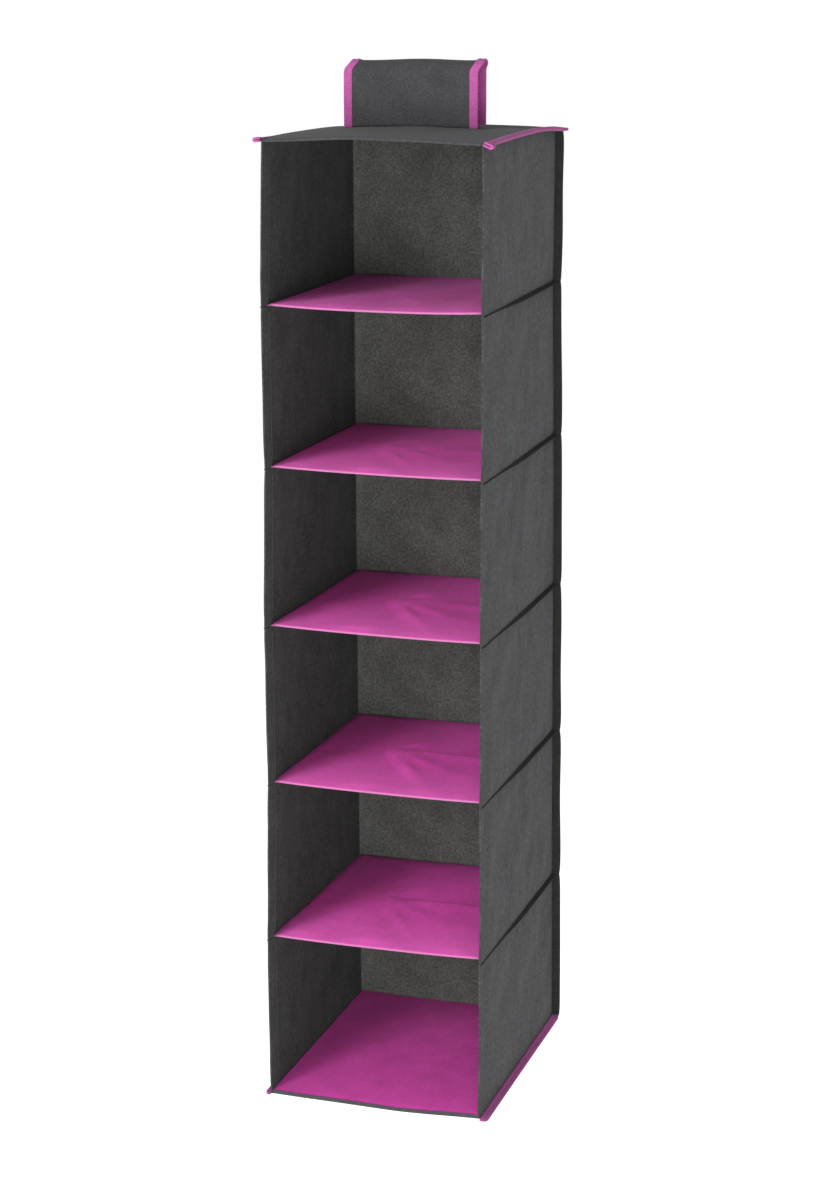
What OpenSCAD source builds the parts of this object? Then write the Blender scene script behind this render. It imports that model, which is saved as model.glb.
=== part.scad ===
// Hanging shoe organizer: six fabric compartments one above the other, open at the front,
// sewn to board-stiffened shelves and hung on a closet rod by one wide loop strap.
// Origin: centre of the rod inside the strap's loop. +X along the rod, -Y out of the open
// front, +Z up. Millimetres.

/* [Body] */
// Outer width across the two side walls
body_w = 204; // [180:2:300]
// Outer depth from the open front to the back of the back wall
body_d = 300; // [240:10:360]
// Height of one compartment, from one shelf seam to the next
pitch = 150; // [120:5:200]
// Thickness of the wall fabric
wall_t = 1.5; // [0.8:0.1:2]

/* [Panels] */
// Thickness of the stiff board inside the top, the bottom and each shelf
board_t = 2; // [1.5:0.5:4]
// Thickness of the fabric over a board
cover_t = 1; // [0.6:0.1:1.5]
// How far the shelves stop short of the walls' front edges
shelf_setback = 14; // [2:1:30]

/* [Seams] */
// Width of a bound seam, outside the wall it is sewn to
seam_w = 8; // [5:1:12]
// Thickness of the binding tape
tape_t = 0.8; // [0.4:0.1:1.2]

/* [Strap] */
// Diameter of the rod that the strap hangs on
rod_d = 25; // [20:1:32]
// Drop from the rod's centre to the top panel
rod_drop = 51; // [45:1:80]
// Width of the strap along the rod
strap_w = 128; // [80:2:160]
// Thickness of the strap's stiffened fabric
strap_t = 1.8; // [1.4:0.1:2.4]
// Place on the rod's rear side where the flap bends, in degrees above level
hinge_angle = 45; // [30:5:60]
// Width of the hook tape and the loop tape, up the strap
closure_h = 24; // [15:1:28]

/* [Hidden] */
tiers = 6;
// Clearance between pieces that move apart
gap = 0.3;

half_w = body_w / 2;
half_d = body_d / 2;
inner_x = half_w - wall_t;
inner_y = half_d - wall_t;
top_z = -rod_drop;
// Outer edge of a seam allowance, inside its folded tape
seam_x = half_w + seam_w - tape_t;
// Height of the seam under compartment k, and of the top panel's upper face for k = 0
function level(k) = top_z - k * pitch;
// Upper and lower ends of the walls round compartment k
function wall_top(k) = level(k - 1) - cover_t;
function wall_foot(k) = level(k) + gap + (k == tiers ? cover_t : 0);
// Upper and lower ends of the bound corner seams round compartment k
function corner_top(k) = wall_top(k) - (k == 1 ? tape_t : 0);
function corner_foot(k) = wall_foot(k) + (k == tiers ? tape_t : 0);

// Sides of a shelf sleeve, clear of the walls above it
shelf_x = inner_x - gap;
shelf_front = -half_d + shelf_setback;
shelf_back = inner_y - gap;
// Play round a board in its sleeve
board_play = 0.2;

rod_r = rod_d / 2;
strap_r = rod_r + strap_t;
tape_r = strap_r + tape_t;
strap_tape_w = 8;
hook_t = 1;
loop_t = 1.1;
flap_foot = top_z + 3;
closure_foot = flap_foot + 2;
closure_w = strap_w - 3 * strap_tape_w;
// Rear tab: it stands in front of the flap, with both tapes between them
tab_y = rod_r - hook_t - gap - loop_t - strap_t;
tab_w = strap_w - 2 * strap_tape_w - 2;
tab_top = closure_foot + closure_h + 3;
strap_hem = 8;
// Turn that leaves the clearance between the arch and the flap
gap_angle = asin(gap / rod_r);

grey = [0.25, 0.25, 0.26];
dark_grey = [0.18, 0.18, 0.18];
magenta = [0.68, 0.28, 0.57];
pink_tape = [0.69, 0.33, 0.62];
board_brown = [0.62, 0.52, 0.40];
$fn = 64;

// Box between two opposite corners
module block(low, high) {
    translate(low) cube(high - low);
}

// Box that is the same on both sides of the middle plane
module wide_block(half, y, z) {
    block([-half, y[0], z[0]], [half, y[1], z[1]]);
}

// Same shape on one side only: -1 is left, 1 is right
module on_side(side) {
    mirror([side < 0 ? 1 : 0, 0, 0]) children();
}

// Outline drawn in Y and Z, carried along X
module along_x(x0, x1) {
    translate([x0, 0, 0]) rotate([90, 0, 90]) linear_extrude(x1 - x0) children();
}

// ---- Top panel -------------------------------------------------------------------------

// Grey fabric over the board, with seam allowances at its sides and hems front and back
module top_cover() {
    lining_z = top_z - 2 * cover_t - board_t;
    color(grey) {
        wide_block(seam_x, [-half_d, half_d], [top_z - cover_t, top_z]);
        wide_block(inner_x, [-half_d, -half_d + cover_t], [lining_z, top_z - cover_t]);
        wide_block(inner_x, [inner_y - cover_t, inner_y], [lining_z, top_z - cover_t]);
    }
}

module top_board() {
    y = [-half_d + cover_t + board_play, inner_y - cover_t - board_play];
    color(board_brown)
        wide_block(inner_x - board_play, y, [top_z - cover_t - board_t, top_z - cover_t]);
}

module top_lining() {
    z = top_z - cover_t - board_t;
    color(grey)
        wide_block(inner_x, [-half_d + cover_t, inner_y - cover_t], [z - cover_t, z]);
}

// Tape folded round a seam allowance that lies level, from x0 to its outer edge
module level_binding(side, x0, allowance_z) {
    y = [-half_d, half_d];
    color(pink_tape) on_side(side) difference() {
        block([x0, y[0], allowance_z - tape_t],
              [seam_x + tape_t, y[1], allowance_z + cover_t + tape_t]);
        block([x0 - 1, y[0] - 1, allowance_z], [seam_x, y[1] + 1, allowance_z + cover_t]);
    }
}

// ---- Strap -----------------------------------------------------------------------------

// Part of a ring round the rod's centre, between two angles up to 180 degrees apart
module ring_sector(r_in, r_out, from, to) {
    reach = 3 * r_out;
    intersection() {
        difference() {
            circle(r_out);
            circle(r_in);
        }
        polygon([
            [0, 0],
            for (i = [0 : 3]) reach * [cos(from + i * (to - from) / 3), sin(from + i * (to - from) / 3)]
        ]);
    }
}

// Front of the strap: up from the panel and over the rod
module front_outline(r_in, r_out) {
    ring_sector(r_in, r_out, hinge_angle, 180);
    translate([-r_out, top_z]) square([r_out - r_in, -top_z]);
}

// Rear of the strap: the end of the arch and the flap that hangs from it
module flap_outline(r_in, r_out) {
    ring_sector(r_in, r_out, 0, hinge_angle - gap_angle);
    translate([r_in, flap_foot]) square([r_out - r_in, -flap_foot]);
}

module strap_front() {
    half = strap_w / 2;
    color(grey) {
        along_x(strap_tape_w - half, half - strap_tape_w) front_outline(rod_r, strap_r);
        along_x(tape_t - half, half - tape_t) front_outline(rod_r + tape_t, strap_r);
        wide_block(half - strap_tape_w, [-rod_r, -rod_r + strap_hem], [top_z, top_z + strap_t]);
    }
}

module strap_flap() {
    half = strap_w / 2;
    color(grey) {
        along_x(strap_tape_w - half, half - strap_tape_w) flap_outline(rod_r, strap_r);
        along_x(tape_t - half, half - tape_t) flap_outline(rod_r + tape_t, strap_r);
    }
}

// Tape folded round one edge of the strap's front
module strap_binding(side) {
    half = strap_w / 2;
    color(pink_tape) on_side(side) difference() {
        along_x(half - strap_tape_w, half) front_outline(rod_r, tape_r);
        along_x(half - strap_tape_w - 1, half - tape_t) front_outline(rod_r + tape_t, strap_r);
    }
}

// Tape folded round one edge of the flap
module flap_binding(side) {
    half = strap_w / 2;
    color(pink_tape) on_side(side) difference() {
        along_x(half - strap_tape_w, half) flap_outline(rod_r, tape_r);
        along_x(half - strap_tape_w - 1, half - tape_t) flap_outline(rod_r + tape_t, strap_r);
    }
}

// Short stiff tab sewn to the panel behind the rod, with its hem under the loop
module strap_tab() {
    color(grey) {
        wide_block(tab_w / 2, [tab_y, tab_y + strap_t], [top_z, tab_top]);
        wide_block(tab_w / 2, [tab_y - strap_hem, tab_y], [top_z, top_z + strap_t]);
    }
}

module hook_tape() {
    color(dark_grey)
        wide_block(closure_w / 2, [rod_r - hook_t, rod_r], [closure_foot, closure_foot + closure_h]);
}

module loop_tape() {
    y = tab_y + strap_t;
    color(dark_grey)
        wide_block(closure_w / 2, [y, y + loop_t], [closure_foot, closure_foot + closure_h]);
}

// ---- Walls -----------------------------------------------------------------------------

module side_wall(k, side) {
    color(grey) on_side(side)
        block([inner_x, -half_d, wall_foot(k)], [half_w, inner_y, wall_top(k)]);
}

// Back wall with the allowances of both corner seams
module back_wall(k) {
    color(grey) {
        wide_block(half_w, [inner_y, half_d], [wall_foot(k), wall_top(k)]);
        wide_block(seam_x, [inner_y, half_d], [corner_foot(k), corner_top(k)]);
    }
}

// Tapes folded round the back wall's two corner seams
module corner_binding(k) {
    foot = corner_foot(k);
    top = corner_top(k);
    for (side = [-1, 1])
        color(dark_grey) on_side(side) difference() {
            block([half_w, inner_y - tape_t, foot], [seam_x + tape_t, half_d + tape_t, top]);
            block([half_w - 1, inner_y, foot - 1], [seam_x, half_d, top + 1]);
        }
}

// ---- Shelves ---------------------------------------------------------------------------

// Magenta sleeve, open at the back for its board, with seam allowances on three sides
module shelf_cover(k) {
    z = level(k);
    color(magenta) {
        difference() {
            wide_block(shelf_x, [shelf_front, shelf_back], [z - cover_t, z + board_t + cover_t]);
            wide_block(shelf_x - cover_t, [shelf_front + cover_t, shelf_back + 1], [z, z + board_t]);
        }
        wide_block(half_w, [shelf_front, half_d], [z - cover_t, z]);
    }
}

module shelf_board(k) {
    y = [shelf_front + cover_t + board_play, shelf_back - board_play];
    color(board_brown)
        wide_block(shelf_x - cover_t - board_play, y, [level(k), level(k) + board_t]);
}

// Bound shelf seam, folded down against the outside of the walls below
module shelf_binding(k) {
    z = level(k);
    fold_t = 2 * tape_t;
    end_y = inner_y - tape_t - gap;
    color(dark_grey) {
        for (side = [-1, 1])
            on_side(side) block([half_w, -half_d, z - seam_w], [half_w + fold_t, end_y, z]);
        wide_block(half_w - gap, [half_d, half_d + fold_t], [z - seam_w, z]);
    }
}

// ---- Bottom panel ----------------------------------------------------------------------

module bottom_liner() {
    z = level(tiers) + cover_t + board_t;
    color(magenta) wide_block(shelf_x, [-half_d + cover_t, shelf_back], [z, z + cover_t]);
}

module bottom_board() {
    z = level(tiers) + cover_t;
    y = [-half_d + cover_t + board_play, shelf_back - board_play];
    color(board_brown) wide_block(shelf_x - board_play, y, [z, z + board_t]);
}

// Grey fabric under the board, turned up over its front edge
module bottom_cover() {
    z = level(tiers);
    color(grey) {
        wide_block(seam_x, [-half_d, half_d], [z, z + cover_t]);
        wide_block(shelf_x, [-half_d, -half_d + cover_t], [z + cover_t, z + board_t + 2 * cover_t]);
    }
}

// ---- One node at a time ----------------------------------------------------------------

top_cover();
top_board();
top_lining();
level_binding(-1, half_w, top_z - cover_t);  // top_binding_left
level_binding(1, half_w, top_z - cover_t);  // top_binding_right

strap_front();
strap_binding(-1);  // strap_binding_left
strap_binding(1);  // strap_binding_right
strap_flap();
flap_binding(-1);  // flap_binding_left
flap_binding(1);  // flap_binding_right
strap_tab();
hook_tape();
loop_tape();

for (k = [1 : tiers]) {
    side_wall(k, -1);
    side_wall(k, 1);
    back_wall(k);
    corner_binding(k);
}

for (k = [1 : tiers - 1]) {
    shelf_cover(k);
    shelf_board(k);
    shelf_binding(k);
}

bottom_liner();
bottom_board();
bottom_cover();
level_binding(-1, half_w + gap, level(tiers));  // bottom_binding_left
level_binding(1, half_w + gap, level(tiers));  // bottom_binding_right
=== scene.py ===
"""Looks of the hanging shoe organizer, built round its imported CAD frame.

Every fabric part is a real sheet: a grid of points that follows its folds, given its
thickness on both sides. Lengths are in metres, in the frame of the CAD part: the closet
rod's centre is the origin, +X runs along the rod and -Y points out of the open front.
"""

import math

import bpy
import numpy as np
from mathutils import Euler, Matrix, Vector


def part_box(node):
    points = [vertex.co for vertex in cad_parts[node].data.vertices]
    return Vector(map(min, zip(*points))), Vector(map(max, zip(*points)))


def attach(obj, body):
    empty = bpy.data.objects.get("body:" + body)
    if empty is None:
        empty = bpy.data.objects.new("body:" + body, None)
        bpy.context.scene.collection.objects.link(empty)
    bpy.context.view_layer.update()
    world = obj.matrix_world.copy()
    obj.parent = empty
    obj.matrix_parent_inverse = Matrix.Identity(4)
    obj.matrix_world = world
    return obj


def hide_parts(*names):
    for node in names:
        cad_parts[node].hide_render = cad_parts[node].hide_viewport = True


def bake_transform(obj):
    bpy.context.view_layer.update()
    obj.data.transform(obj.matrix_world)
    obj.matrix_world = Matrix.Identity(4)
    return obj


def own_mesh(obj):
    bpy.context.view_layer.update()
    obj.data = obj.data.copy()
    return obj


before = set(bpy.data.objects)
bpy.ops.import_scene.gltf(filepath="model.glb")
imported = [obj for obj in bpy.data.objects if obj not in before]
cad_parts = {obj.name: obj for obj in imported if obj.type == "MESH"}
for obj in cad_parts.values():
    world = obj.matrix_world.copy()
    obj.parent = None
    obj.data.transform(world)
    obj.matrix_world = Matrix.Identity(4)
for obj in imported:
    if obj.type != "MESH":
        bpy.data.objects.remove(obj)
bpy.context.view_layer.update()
scene = bpy.context.scene

MM = 0.001


# ---- Places, all read from the CAD frame ----

TIERS = sum(name.startswith("back_wall_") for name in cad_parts)
HALF_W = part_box("right_wall_1")[1].x
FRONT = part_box("right_wall_1")[0].y
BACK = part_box("back_wall_1")[1].y
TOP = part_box("top_cover")[1].z
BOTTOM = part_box("bottom_cover")[0].z
PITCH = (TOP - BOTTOM) / TIERS
DEPTH = BACK - FRONT
INNER_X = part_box("right_wall_1")[0].x
INNER_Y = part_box("back_wall_1")[0].y
SEAM_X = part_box("top_binding_right")[1].x
SHELF_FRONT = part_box("shelf_cover_1")[0].y
CORNER_Y = (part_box("corner_binding_1")[0].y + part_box("corner_binding_1")[1].y) / 2
SIDES = {-1: "left", 1: "right"}

FABRIC_T = 0.7 * MM
TAPE_T = 0.7 * MM
HEM = 20 * MM
TURNED_OUT = 1.2 * MM      # how far the top's and the bottom's fabric reach past the side walls


def level(k):
    """Height of the seam under compartment k, and of the top panel for k = 0."""
    return TOP - k * PITCH


def body_above(k):
    """The body that compartment k's walls hang from."""
    return "top_panel" if k == 1 else f"shelf_{k - 1}"


# ---- Shape of the whole bag, shared by every part that touches it ----

FRONT_LIFT = 1.5 * MM
SIDE_ARCH = 2 * MM
BACK_DROOP = 2.9 * MM
CROWN = 2.2 * MM
SHELF_SAG = 1.4 * MM
LEFT_HANG = 1.7 * MM


def smoothstep(low, high, x):
    t = np.clip((np.asarray(x, float) - low) / (high - low), 0, 1)
    return t * t * (3 - 2 * t)


def depth_share(y):
    """0 at the open front and 1 at the back."""
    return np.clip((np.asarray(y, float) - FRONT) / DEPTH, 0, 1)


def top_rise(x, y):
    """How far the top panel stands above a flat one: its right side arches and its left hangs."""
    t = depth_share(y)
    left = 1 - right_share(x)
    arch = FRONT_LIFT * (1 - t) ** 2 + SIDE_ARCH * np.sin(math.pi * t) - BACK_DROOP * t ** 5
    hang = LEFT_HANG * left ** 3 * smoothstep(0.08, 0.6, t)
    across = 1 - np.clip(np.abs(x) / HALF_W, 0, 1) ** 2
    lip = FRONT_LIFT * np.exp(-((np.asarray(x) + 20 * MM) / (50 * MM)) ** 2) * (1 - t) ** 3
    crown = CROWN * across * (1 + 0.8 * np.sin(math.pi * t))
    return arch - hang + crown + lip * across


def right_share(x):
    """0 at the left side and 1 at the right."""
    return np.clip(np.asarray(x, float) / (2 * HALF_W) + 0.5, 0, 1)


def shelf_sag(k, x):
    """How far shelf k hangs below its side seams: the first one most."""
    return -SHELF_SAG * (1.8 if k == 1 else 1) * (1 - np.clip(np.abs(x) / INNER_X, 0, 1) ** 2.6)


def slouch(points):
    """The whole bag hangs a little askew: its lower part turns, and its shelves tip to the right.

    Its left front edge runs straight from seam to seam, out at one and in at the next.
    """
    x, y, z = np.asarray(points, float).reshape(-1, 3).T
    tier = np.clip((TOP - z) / PITCH, 0, TIERS)
    down = tier / TIERS
    back = depth_share(y)
    right = right_share(x)
    zigzag = (1 - np.abs(tier % 2 - 1)) * (1 - right) * (1 - smoothstep(0, 0.5, back))
    pinch = np.exp(-((tier - 1.1) / 0.7) ** 2) * back * right
    x = x + (4.2 * down * back - 2 * zigzag - 1.5 * pinch + 1.1 * down ** 6 * back) * MM
    tip = 4.6 * np.sin(math.pi * down ** 1.25) * (1 - right) * (1 - back) - 1.8 * down ** 8 * right
    z = z + (down * (1.2 - 3.6 * right - 2 * back) + tip) * MM
    return np.stack([x, y, z], axis=1)


def seam_lines(side, k, y):
    """The seam at level k outside a side wall: its line, and its ways out and up at each point."""
    t = depth_share(y)
    wave = soft_noise(700 + 3 * k + side, high=5)(t, t * 0)
    if k == 0:
        z = TOP - 0.4 * MM + top_rise(side * HALF_W, y)
        right = 18 * (1 - smoothstep(0.3, 0.95, t))
        left = 30 * smoothstep(0.01, 0.16, t) * (1 - smoothstep(0.93, 0.985, t)) - 4
        middle = right if side > 0 else left
        droop = 6 + middle + 4 * wave
    elif k < TIERS:
        z = level(k) - 0.3 * MM
        droop = 84 - 50 * smoothstep(0.15, 0.8, t) + 5 * wave
    else:
        z = BOTTOM + 0.5 * MM
        droop = (18 if side > 0 else 4) + 5 * wave
    return points_at(side * HALF_W, y, z), *drooping((side, 0, 0), droop)


# ---- Mesh helpers ----

def points_at(x, y, z):
    """Points from their three coordinates, each a number or an array."""
    return np.stack(np.broadcast_arrays(x, y, z), axis=-1)


def unit(v):
    return v / np.maximum(np.linalg.norm(v, axis=-1, keepdims=True), 1e-12)


def drooping(way, degrees):
    """Ways out and up at each point of a seam that droops so far from level."""
    droop = np.radians(degrees)[:, None]
    level_way = np.array(way, float)
    straight_up = np.array([0, 0, 1.0])
    out = level_way * np.cos(droop) - straight_up * np.sin(droop)
    up = level_way * np.sin(droop) + straight_up * np.cos(droop)
    return out, up


def same_way(x, y, z, along):
    """One direction, repeated for each point along a line."""
    return np.tile([float(x), float(y), float(z)], (len(along), 1))


def placed(name, data):
    """A new object in the scene."""
    obj = bpy.data.objects.new(name, data)
    scene.collection.objects.link(obj)
    return obj


def volume(points, faces):
    """Six times the volume inside a closed surface, below zero when it faces inwards."""
    total = 0
    for size in set(len(f) for f in faces):
        corners = np.asarray(points)[np.array([f for f in faces if len(f) == size])]
        for i in range(1, size - 1):
            turned = np.cross(corners[:, i], corners[:, i + 1])
            total += np.einsum("ij,ij->i", corners[:, 0], turned).sum()
    return total


def new_object(name, points, faces, uvs=None):
    """A smooth-shaded mesh object. uvs holds one pair for each point, in metres."""
    points = slouch(points)
    if volume(points - points.mean(axis=0), faces) < 0:
        faces = [f[::-1] for f in faces]
    mesh = bpy.data.meshes.new(name)
    mesh.from_pydata(points.tolist(), [], faces)
    if uvs is not None:
        layer = mesh.uv_layers.new(name="cloth")
        index = np.zeros(len(mesh.loops), np.int32)
        mesh.loops.foreach_get("vertex_index", index)
        layer.data.foreach_set("uv", np.asarray(uvs, np.float32)[index].ravel())
    mesh.validate()
    mesh.shade_smooth()
    mesh.set_sharp_from_angle(angle=math.radians(50))
    return placed(name, mesh)


def grid_faces(rows, cols, offset=0, flip=False, wrap=False):
    faces = []
    for i in range(rows - 1):
        for j in range(cols if wrap else cols - 1):
            a = offset + i * cols + j
            b = offset + i * cols + (j + 1) % cols
            quad = (a, b, b + cols, a + cols)
            faces.append(quad[::-1] if flip else quad)
    return faces


def tube_faces(rows, cols, offset=0):
    """Faces of a closed tube of rings, with a cap at each end."""
    last = offset + (rows - 1) * cols
    caps = [tuple(range(offset, offset + cols))[::-1], tuple(range(last, last + cols))]
    return grid_faces(rows, cols, offset, wrap=True) + caps


def grid_normals(grid):
    du = np.gradient(grid, axis=1)
    dv = np.gradient(grid, axis=0)
    return unit(np.cross(du, dv))


def grid_uvs(grid):
    """Distances along the sheet, in metres, from its first row and column."""
    du = np.linalg.norm(np.diff(grid, axis=1), axis=2).mean(axis=0)
    dv = np.linalg.norm(np.diff(grid, axis=0), axis=2).mean(axis=1)
    u = np.concatenate([[0], np.cumsum(du)])
    v = np.concatenate([[0], np.cumsum(dv)])
    return np.stack(np.meshgrid(u, v), axis=-1)


FAR_ALONG = 10             # where the texture of an outer face starts, for the material to know it


def cloth(name, grid, thickness=FABRIC_T, outer=None, far=FAR_ALONG):
    """A closed sheet of this thickness whose middle runs through a grid of points.

    outer is 1 or -1 where the upper or the under face is an outer one that the material tells
    apart: its texture then starts far along.
    """
    rows, cols = grid.shape[:2]
    n = grid_normals(grid) * thickness / 2
    points = np.concatenate([(grid + n).reshape(-1, 3), (grid - n).reshape(-1, 3)])
    under = rows * cols
    faces = grid_faces(rows, cols) + grid_faces(rows, cols, under, flip=True)
    index = np.arange(under).reshape(rows, cols)
    loop = np.concatenate([index[0], index[1:, -1], index[-1, -2::-1], index[-2:0:-1, 0]]).tolist()
    for a, b in zip(loop, loop[1:] + loop[:1]):
        faces.append((b, a, a + under, b + under))
    uv = grid_uvs(grid).reshape(-1, 2)
    shifts = [(far if outer == face else 0, 0) for face in (1, -1)]
    return new_object(name, points, faces, np.concatenate([uv + shift for shift in shifts]))


def sweep(name, centres, across, up, section):
    """A closed section carried along a line of points, with its own two axes at each.

    section is one outline of (across, up) pairs, or one outline for each point.
    """
    centres = np.asarray(centres, float)
    outlines = np.broadcast_to(section, (len(centres),) + np.shape(section)[-2:])
    rings = (centres[:, None]
             + outlines[..., :1] * np.asarray(across)[:, None]
             + outlines[..., 1:] * np.asarray(up)[:, None])
    rows, cols = rings.shape[:2]
    uv = grid_uvs(rings).reshape(-1, 2)[:, ::-1]
    return new_object(name, rings.reshape(-1, 3), tube_faces(rows, cols), uv)


def rounded_path(corners, radius, step, turns=6):
    """Points along a bent line whose corners are rounded, about a step apart."""
    corners = [np.asarray(c, float) for c in corners]
    out = [corners[0]]
    for a, b, c in zip(corners, corners[1:], corners[2:]):
        into, away = unit(b - a), unit(c - b)
        half = math.acos(float(np.clip(into @ away, -1, 1))) / 2
        cut = min(radius * math.tan(half), np.linalg.norm(b - a) * 0.49, np.linalg.norm(c - b) * 0.49)
        for t in np.linspace(0, 1, turns):
            out.append((1 - t) ** 2 * (b - into * cut) + 2 * t * (1 - t) * b + t * t * (b + away * cut))
    out.append(corners[-1])
    dense = [out[0]]
    for a, b in zip(out, out[1:]):
        n = max(1, round(np.linalg.norm(b - a) / step))
        dense += [a + (b - a) * i / n for i in range(1, n + 1)]
    return np.array(dense)


def joined(name, parts):
    """Several objects as one."""
    bpy.ops.object.select_all(action="DESELECT")
    for part in parts:
        part.select_set(True)
    bpy.context.view_layer.objects.active = parts[0]
    bpy.ops.object.join()
    parts[0].name = name
    parts[0].data.name = name
    return parts[0]


def soft_noise(seed, terms=6, low=1.0, high=4.0):
    """A smooth function of two shares from 0 to 1, between about -1 and 1."""
    rng = np.random.default_rng(seed)
    waves = [(rng.uniform(low, high), rng.uniform(low, high), *rng.uniform(0, 2 * math.pi, 2))
             for _ in range(terms)]

    def height(u, v):
        total = sum(np.sin(math.pi * a * u + p) * np.sin(math.pi * b * v + q) for a, b, p, q in waves)
        return total / math.sqrt(terms)

    return height


# ---- Materials ----

def srgb(r, g, b):
    """Linear colour of an sRGB one given from 0 to 255."""
    def linear(c):
        c = c / 255
        return c / 12.92 if c <= 0.04045 else ((c + 0.055) / 1.055) ** 2.4
    return (linear(r), linear(g), linear(b), 1)


def scaled(colour, k):
    return tuple(min(1, c * k) for c in colour[:3]) + (1,)


class Nodes:
    """Shorthand for building one material's node tree."""

    def __init__(self, name):
        self.material = bpy.data.materials.new(name)
        self.material.use_nodes = True
        self.tree = self.material.node_tree
        self.shader = self.tree.nodes["Principled BSDF"]

    def add(self, kind, inputs=(), **settings):
        node = self.tree.nodes.new(kind)
        for key, value in settings.items():
            setattr(node, key, value)
        for key, value in dict(inputs).items():
            self.feed(node.inputs[key], value)
        return node

    def feed(self, socket, value):
        """Gives a socket another node's output, or a plain value."""
        if isinstance(value, bpy.types.NodeSocket):
            self.tree.links.new(value, socket)
        else:
            socket.default_value = value

    def give(self, name, value):
        self.feed(self.shader.inputs[name], value)

    def bump(self, height, strength, distance):
        inputs = {"Height": height, "Strength": strength, "Distance": distance}
        self.give("Normal", self.add("ShaderNodeBump", inputs).outputs[0])

    def maths(self, operation, a, b=0.5):
        return self.add("ShaderNodeMath", {0: a, 1: b}, operation=operation).outputs[0]

    def mix(self, factor, a, b, blend="MIX"):
        """Two colours mixed: the node's inputs 6 and 7, and its output 2."""
        inputs = {0: factor, 6: a, 7: b}
        return self.add("ShaderNodeMix", inputs, data_type="RGBA", blend_type=blend).outputs[2]

    def noise(self, place, scale, detail, roughness):
        inputs = {"Vector": place, "Scale": scale, "Detail": detail, "Roughness": roughness}
        return self.add("ShaderNodeTexNoise", inputs).outputs[0]

    def outer_face(self, uv, inner, outer):
        """The inner colour, or on an outer face past its hem, the outer one if any."""
        if outer is None:
            return inner
        along = self.add("ShaderNodeSeparateXYZ", {0: uv}).outputs[0]
        return self.mix(self.ramp(along, FAR_ALONG + HEM, FAR_ALONG + HEM + 1 * MM), inner, outer)

    def multiply(self, colour, factor, low, high):
        """colour times a grey between low and high, by factor."""
        grey = self.mix(factor, (low, low, low, 1), (high, high, high, 1))
        return self.mix(1, colour, grey, "MULTIPLY")

    def ramp(self, factor, low, high):
        inputs = {"Value": factor, "From Min": low, "From Max": high}
        return self.add("ShaderNodeMapRange", inputs).outputs[0]


def nonwoven(name, colour, tint, grain=0.3, mottle=0.1, rough=0.9, gloss=0.1, sheen=0.03, fine=460,
             edge=None, outer=None):
    """Spun-bonded fabric: a web of fine fibres pressed together at small oval points.

    Clouds and streaks of more and fewer fibres shade it by mottle, and flecks this fine by grain.
    edge is the colour of the painted highlight along its fold at the front, which also pales the
    fabric a little behind it as painted sheen. outer is the colour of its outer face.
    """
    m = Nodes(name)
    uv = m.add("ShaderNodeUVMap", uv_map="cloth").outputs[0]
    stretched = m.add("ShaderNodeMapping", {"Vector": uv, "Scale": (1, 0.35, 1)}).outputs[0]
    colour, tint = (m.outer_face(uv, c, outer) for c in (colour, tint))
    clouds = m.noise(uv, 30, 4, 0.6)
    streaks = m.noise(stretched, 130, 3, 0.6)
    fibres = m.noise(stretched, 700, 4, 0.7)
    flecks = m.noise(uv, fine, 3, 0.7)
    shade = m.mix(m.ramp(clouds, 0.3, 0.7), colour, tint)
    webs = ((clouds, 0.3, mottle), (streaks, 0.3, mottle),
            (flecks, 0.36, grain), (fibres, 0.36, grain / 2))
    for web, low, change in webs:
        shade = m.multiply(shade, m.ramp(web, low, 1 - low), 1 - change, 1 + change)
    points = bond_points(m, uv)
    shade = m.multiply(shade, points, 1, 0.82)
    if edge:
        # a shelf's front fold gets a painted highlight, and the fabric behind it painted sheen
        shade = painted_fold_highlight(m, uv, shade, edge)
    m.give("Base Color", shade)
    height = m.maths("SUBTRACT", m.maths("MULTIPLY", fibres, 0.5), m.maths("MULTIPLY", points, 0.6))
    m.bump(height, 0.25, 0.4 * MM)
    patchy = {"Value": fibres, "To Min": rough - 0.08, "To Max": min(1, rough + 0.08)}
    m.give("Roughness", m.add("ShaderNodeMapRange", patchy).outputs[0])
    m.give("Specular IOR Level", gloss)
    m.give("Sheen Weight", sheen)
    m.give("Sheen Roughness", 0.5)
    return m.material


def painted_fold_highlight(m, uv, shade, edge):
    """Painted highlight on a shelf's fold round the board's front, and painted sheen a little behind."""
    along = m.add("ShaderNodeSeparateXYZ", {0: uv}).outputs[1]
    behind = m.maths("SUBTRACT", along, BACK - SHELF_FRONT + 3 * MM)
    fold = m.ramp(m.maths("ABSOLUTE", m.maths("SUBTRACT", behind, 0.4 * MM)), 2.2 * MM, 1.3 * MM)
    # painted sheen: the fabric pales towards light pink, fading out 120 mm behind the fold
    painted_front_sheen = m.maths("MULTIPLY", m.ramp(behind, 120 * MM, 0), 0.22)
    shade = m.mix(painted_front_sheen, shade, (0.62, 0.16, 0.44, 1))
    # painted highlight: the fold itself takes the edge colour
    return m.mix(m.maths("MULTIPLY", fold, 0.85), shade, edge)


def bond_points(m, uv, pitch=1.6 * MM):
    """1 at the middle of each pressed point of the fabric, in offset rows, and 0 between."""
    turns = m.add("ShaderNodeVectorMath", {0: uv, 3: math.pi / pitch}, operation="SCALE").outputs[0]
    split = m.add("ShaderNodeSeparateXYZ", {0: turns})
    plus = m.maths("ADD", split.outputs[0], split.outputs[1])
    minus = m.maths("SUBTRACT", split.outputs[0], split.outputs[1])
    peaks = m.maths("MULTIPLY", m.maths("SINE", plus), m.maths("SINE", minus))
    return m.ramp(peaks, 0.55, 0.9)


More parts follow.
